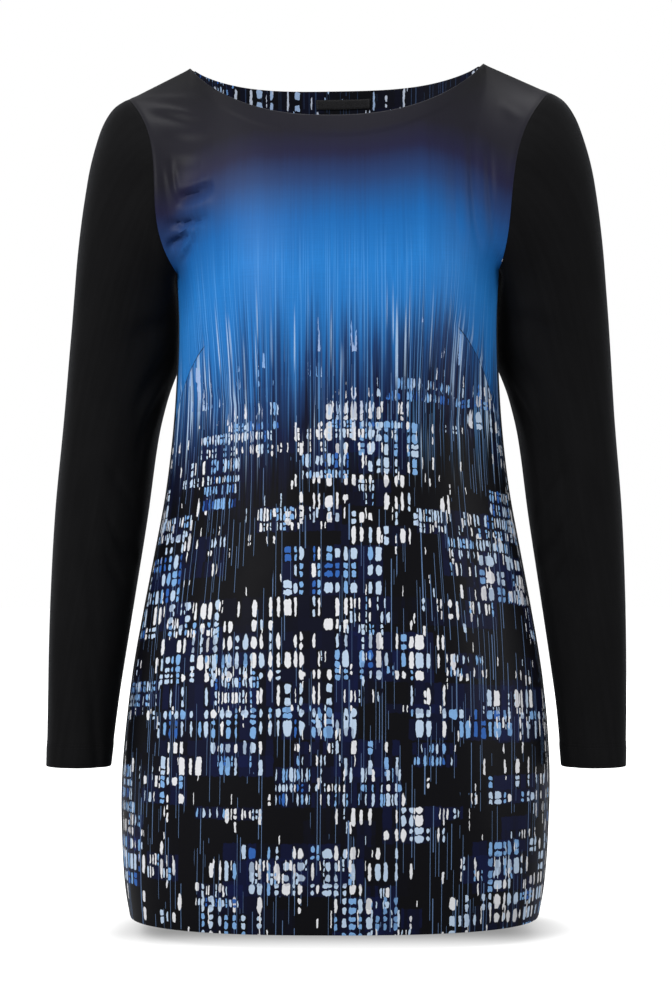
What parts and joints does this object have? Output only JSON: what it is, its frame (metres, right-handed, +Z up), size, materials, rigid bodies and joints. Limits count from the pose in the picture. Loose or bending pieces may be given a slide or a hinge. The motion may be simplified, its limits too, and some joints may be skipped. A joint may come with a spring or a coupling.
{
  "type": "blouse",
  "caption": "Long-sleeved pullover tunic blouse in its worn hollow form: wide boat neck, two bust darts in a printed woven front, plain stretch back and sleeves.",
  "frame": {"origin": "centre of the neck opening, level with its two neck points, where the wearer's shoulders and neck hold the blouse", "axes": "+Z up, from the hem towards the neck; the front faces -Y; +X is the viewer's right when the front is seen; +Y is the depth from front to back"},
  "size_m": [0.5357, 0.26, 0.7893],
  "materials": {
    "printed_satin": "smooth woven satin with a soft sheen, printed from charcoal through bright blue to black with rows of small pale marks",
    "black_jersey": "matte fine stretch knit, near black",
    "printed_facing": "the printed woven cloth, black with small pale blue marks",
    "bare_label": "woven tape, near black, bare"
  },
  "bodies": {
    "root": {"front_panel": "printed_satin", "back_panel": "black_jersey", "sleeve_left": "black_jersey", "sleeve_right": "black_jersey", "back_neck_facing": "printed_facing", "neck_label": "bare_label"}
  },
  "joints": []
}
